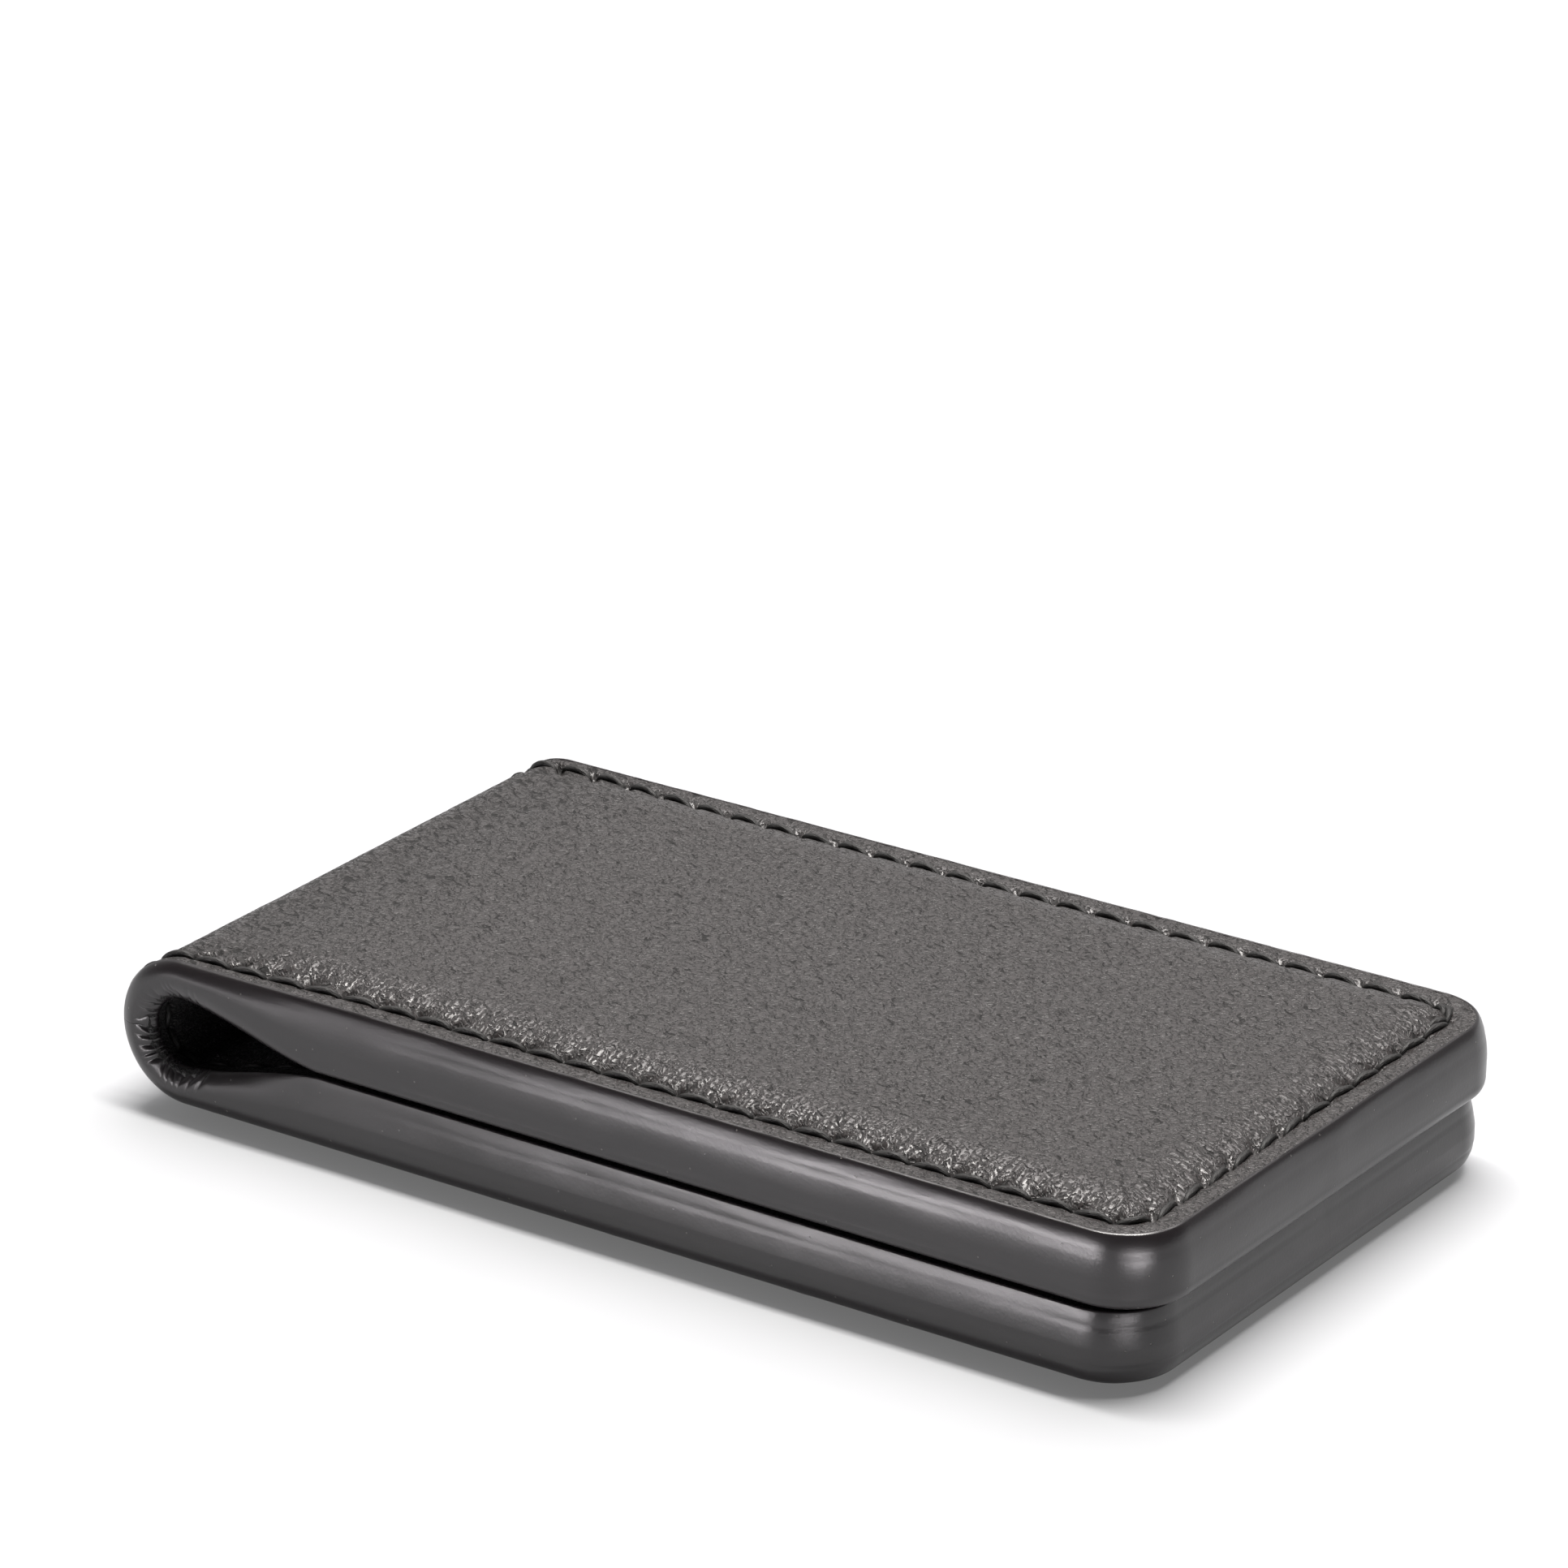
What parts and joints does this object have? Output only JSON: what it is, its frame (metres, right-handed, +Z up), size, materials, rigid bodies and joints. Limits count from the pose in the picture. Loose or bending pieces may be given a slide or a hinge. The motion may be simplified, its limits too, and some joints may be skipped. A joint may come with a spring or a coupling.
{
  "type": "money clip",
  "caption": "Magnetic money clip: two padded leather panels with sewn margins and painted edges, joined by a soft leather fold that opens flat.",
  "frame": {"origin": "middle of the closed clip's footprint, on the surface that it lies on", "axes": "+X from the fold to the free end, +Y across the clip, +Z up through the panels"},
  "size_m": [0.0694, 0.0384, 0.0102],
  "materials": {
    "outer_leather": "satin, fine pebble grain",
    "lining_leather": "smooth satin",
    "edge_paint": "satin",
    "thread": "bonded, slight sheen",
    "foam": "open cell, matte",
    "board": "bonded fibre, matte",
    "magnet_plating": "nickel plated",
    "tape": "woven, matte"
  },
  "bodies": {
    "lower_paddle": {"lower_outer_leather": "outer_leather", "lower_foam_pad": "foam", "lower_stiffener_board": "board", "lower_magnets": "magnet_plating", "lower_lining": "lining_leather", "lower_edge_coat": "edge_paint", "lower_needle_thread": "thread", "lower_bobbin_thread": "thread"},
    "fold_spine": {"fold_outer_leather": "outer_leather", "fold_reinforcement": "tape", "fold_lining": "lining_leather", "fold_edge_coat_front": "edge_paint", "fold_edge_coat_rear": "edge_paint", "fold_needle_thread": "thread", "fold_bobbin_thread": "thread"},
    "upper_paddle": {"upper_outer_leather": "outer_leather", "upper_foam_pad": "foam", "upper_stiffener_board": "board", "upper_magnets": "magnet_plating", "upper_lining": "lining_leather", "upper_edge_coat": "edge_paint", "upper_needle_thread": "thread", "upper_bobbin_thread": "thread"}
  },
  "joints": [
    {"name": "fold_lower_bend", "type": "hinge", "parent": "lower_paddle", "child": "fold_spine", "pos_m": [-0.03285, 0, 0.00255], "axis": [0, -1, 0], "range_deg": [0, 90], "deforming": ["fold_outer_leather", "fold_reinforcement", "fold_lining", "fold_edge_coat_front", "fold_edge_coat_rear", "fold_needle_thread", "fold_bobbin_thread"]},
    {"name": "fold_upper_bend", "type": "hinge", "parent": "fold_spine", "child": "upper_paddle", "pos_m": [-0.03285, 0, 0.00765], "axis": [0, -1, 0], "range_deg": [0, 90]}
  ],
  "couplings": [
    {"joint": "fold_upper_bend", "follows": "fold_lower_bend", "ratio": 1}
  ]
}
